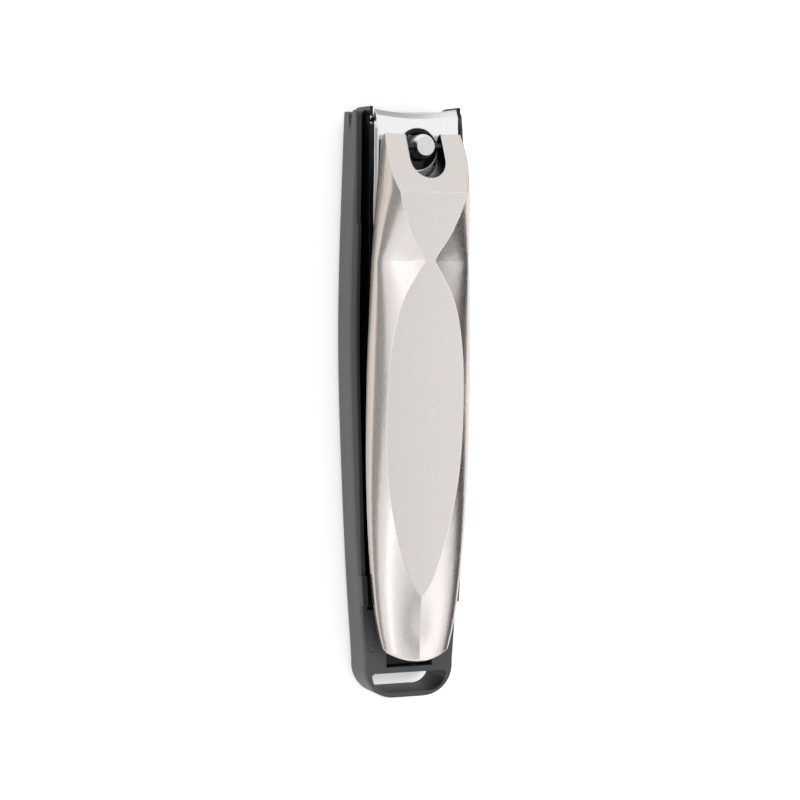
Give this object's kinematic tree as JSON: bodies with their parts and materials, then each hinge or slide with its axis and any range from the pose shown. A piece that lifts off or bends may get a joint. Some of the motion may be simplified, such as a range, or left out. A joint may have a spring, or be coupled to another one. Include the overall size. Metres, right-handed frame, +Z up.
{
  "type": "nail clipper",
  "caption": "Lever nail clipper in a slim nail-catching case, with hollow-ground jaws, a faceted lever folded flat for storage and a strap slot in the tail.",
  "frame": {"origin": "under the middle of the case, on its flat back", "axes": "+X along the length towards the jaws, +Y across, +Z up from the flat back through the lever"},
  "size_m": [0.0976, 0.0206, 0.0184],
  "materials": {
    "case": "satin grey",
    "guard": "gloss black",
    "blade_steel": "bright polished",
    "rivet_steel": "satin",
    "post_steel": "turned, nickel plated",
    "file_steel": "etched file teeth",
    "lever_metal": "satin champagne plating on a casting"
  },
  "bodies": {
    "case": {"case_shell": "case", "nail_file": "file_steel"},
    "blade_unit": {"inner_guard": "guard", "tail_rivets": "rivet_steel"},
    "lower_jaw": {"lower_blade": "blade_steel"},
    "upper_jaw": {"upper_blade": "blade_steel", "post_bush": "guard"},
    "post": {"lever_post": "post_steel", "lever_pin": "post_steel"},
    "lever": {"lever": "lever_metal"}
  },
  "joints": [
    {"name": "case_slide", "type": "slide", "parent": "case", "child": "blade_unit", "axis": [1, 0, 0], "range_m": [0, 0.006]},
    {"name": "lower_jaw_close", "type": "hinge", "parent": "blade_unit", "child": "lower_jaw", "pos_m": [-0.03265, 0, 0.00475], "axis": [0, -1, 0], "range_deg": [0, 0.75], "stiffness_Nm_per_rad": 6},
    {"name": "upper_jaw_close", "type": "hinge", "parent": "blade_unit", "child": "upper_jaw", "pos_m": [-0.03265, 0, 0.00593], "axis": [0, 1, 0], "range_deg": [0, 0.75], "stiffness_Nm_per_rad": 6},
    {"name": "lever_swivel", "type": "hinge", "parent": "lower_jaw", "child": "post", "pos_m": [0.04235, 0, 0], "axis": [0, 0, 1], "range_deg": [0, 180]},
    {"name": "lever_flip", "type": "hinge", "parent": "post", "child": "lever", "pos_m": [0.04235, 0, 0.0137], "axis": [0, 1, 0], "range_deg": [0, 158]}
  ],
  "couplings": [
    {"joint": "upper_jaw_close", "follows": "lower_jaw_close", "ratio": 1}
  ]
}
